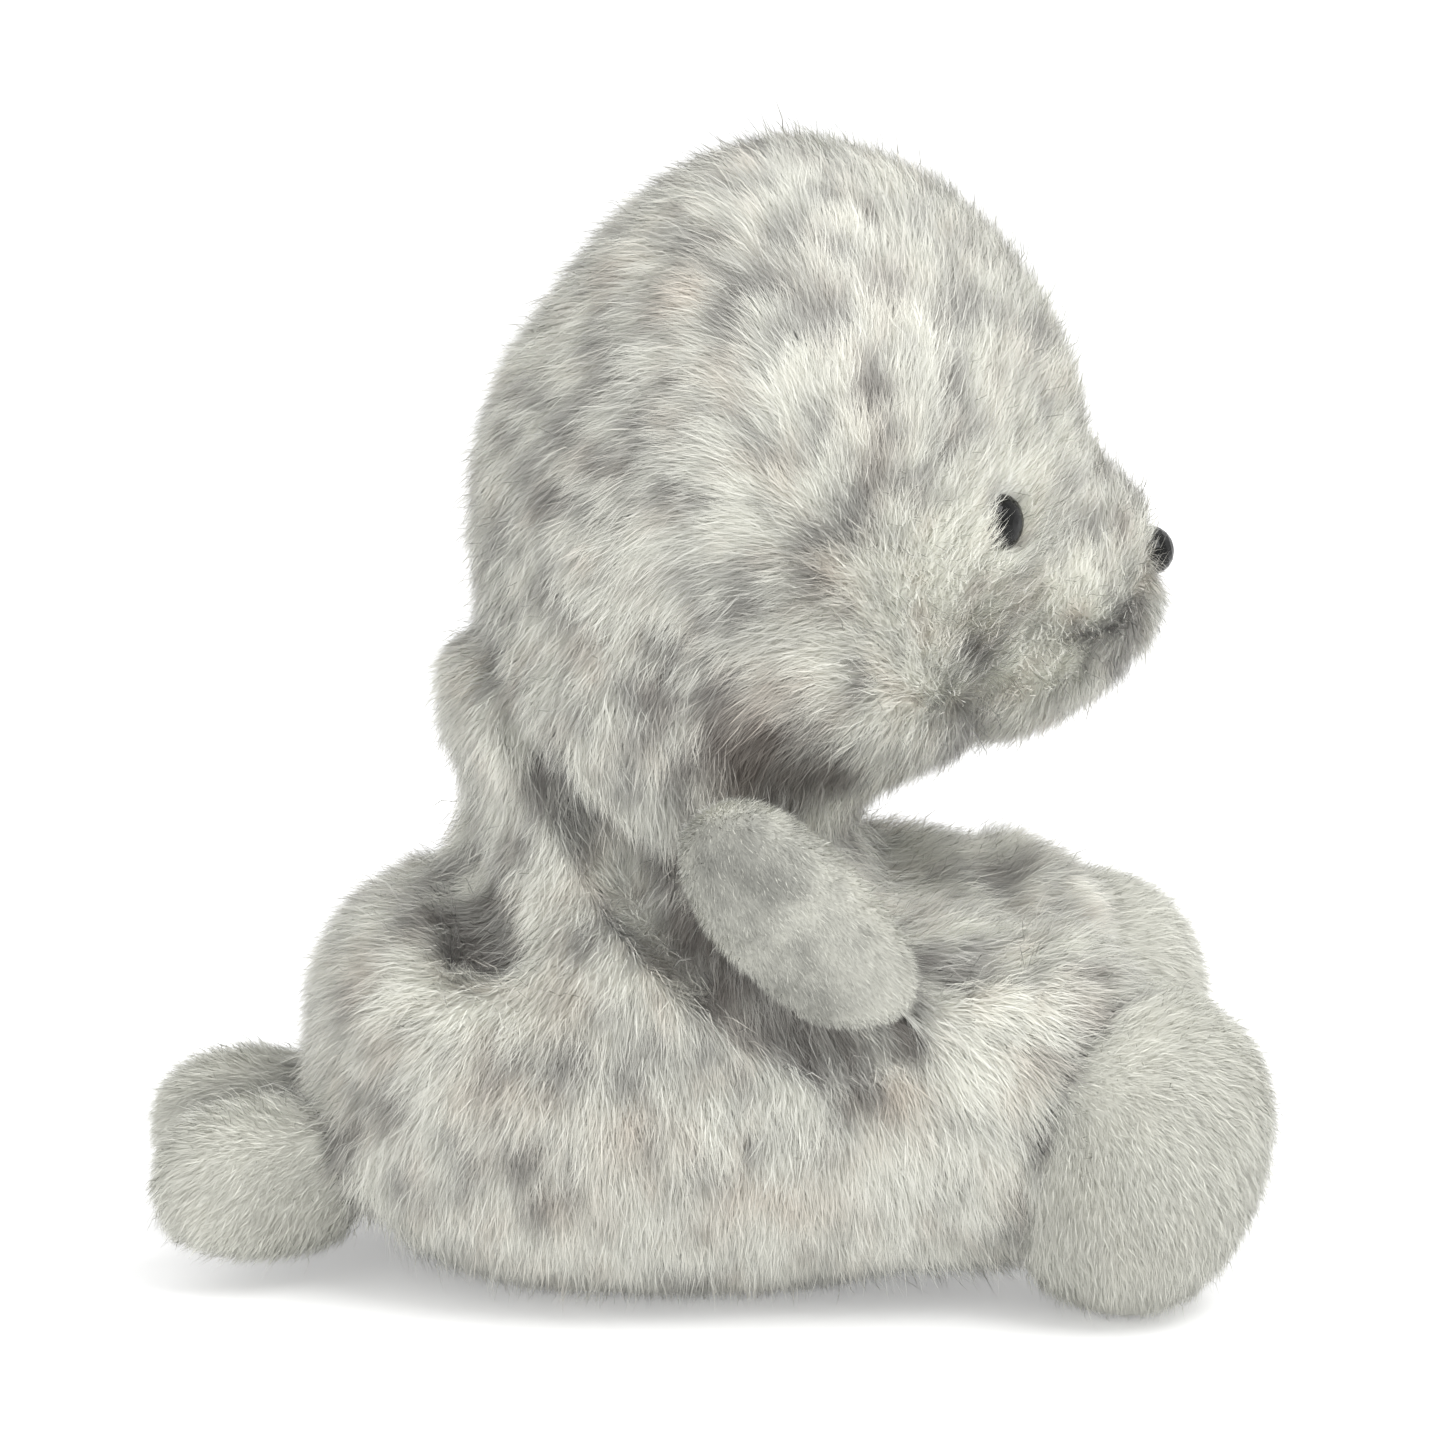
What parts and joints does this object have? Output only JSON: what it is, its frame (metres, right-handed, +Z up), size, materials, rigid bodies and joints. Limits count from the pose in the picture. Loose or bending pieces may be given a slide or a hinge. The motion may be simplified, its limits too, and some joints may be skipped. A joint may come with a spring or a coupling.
{
  "type": "plush seal",
  "caption": "Sitting plush baby seal with mottled long pile, plain short-pile flippers, feet and tail lobes, and black button eyes and nose.",
  "frame": {"origin": "bottom centre of the bounding box, on the surface the seal sits on", "axes": "+Z up, the seal faces -Y, its right side is -X"},
  "size_m": [0.0862, 0.1264, 0.1291],
  "materials": {
    "mottled_long_pile": "long pile fur fabric, cream and grey mottled",
    "plain_short_pile": "short pile fur fabric, plain light grey",
    "black_gloss_plastic": "polished black",
    "white_plastic": "plain moulded"
  },
  "bodies": {
    "root": {"head": "mottled_long_pile", "body": "mottled_long_pile", "flipper_right": "plain_short_pile", "flipper_left": "plain_short_pile", "foot_right": "plain_short_pile", "foot_left": "plain_short_pile", "tail_lobe_right": "plain_short_pile", "tail_lobe_left": "plain_short_pile", "eye_right": "black_gloss_plastic", "eye_left": "black_gloss_plastic", "nose": "black_gloss_plastic", "eye_washer_right": "white_plastic", "eye_washer_left": "white_plastic", "nose_washer": "white_plastic"}
  },
  "joints": []
}
